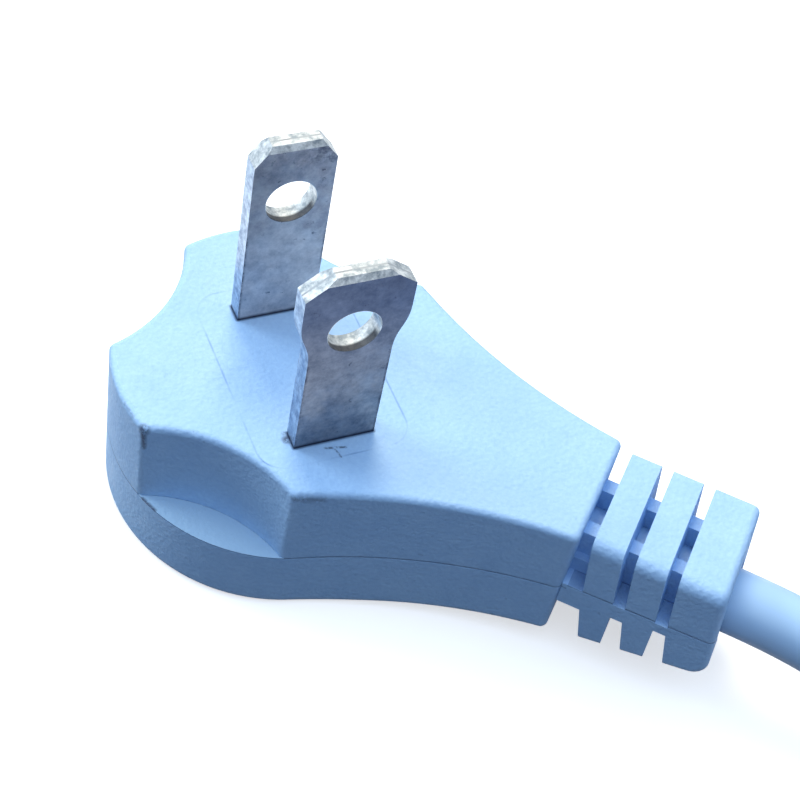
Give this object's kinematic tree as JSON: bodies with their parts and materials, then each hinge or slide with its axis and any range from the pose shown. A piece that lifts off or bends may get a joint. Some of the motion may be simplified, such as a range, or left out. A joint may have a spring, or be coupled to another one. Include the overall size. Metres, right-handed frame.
{
  "type": "type A plug",
  "caption": "Flat two-pin plug with a finger-scooped round head and slotted strain relief, moulded on a coiled round supply cord that leaves at an angle.",
  "frame": {"origin": "on the mating face, midway between the two blades", "axes": "+X across the blades' width, +Y from the wide blade to the narrow blade, +Z out of the mating face along the blades"},
  "size_m": [0.1233, 0.0758, 0.0312],
  "materials": {
    "mould": "soft PVC with a fine leathery texture",
    "carrier": "matte",
    "blades": "satin nickel plating",
    "sheath": "smooth PVC",
    "core_a": "smooth PVC",
    "core_b": "smooth PVC",
    "copper": "tinned copper strands",
    "filler": "twisted jute",
    "tie": "natural nylon"
  },
  "bodies": {
    "root": {"outer_mould": "mould", "blade_carrier": "carrier", "narrow_blade": "blades", "wide_blade": "blades", "sheath_in_plug": "sheath", "sheath_fillers": "filler", "narrow_core_insulation": "core_a", "wide_core_insulation": "core_b", "narrow_conductor": "copper", "wide_conductor": "copper", "cord_run": "sheath", "cord_coil": "sheath", "coil_tie": "tie", "far_end_insulation_a": "core_a", "far_end_insulation_b": "core_b", "far_end_conductor_a": "copper", "far_end_conductor_b": "copper"}
  },
  "joints": []
}
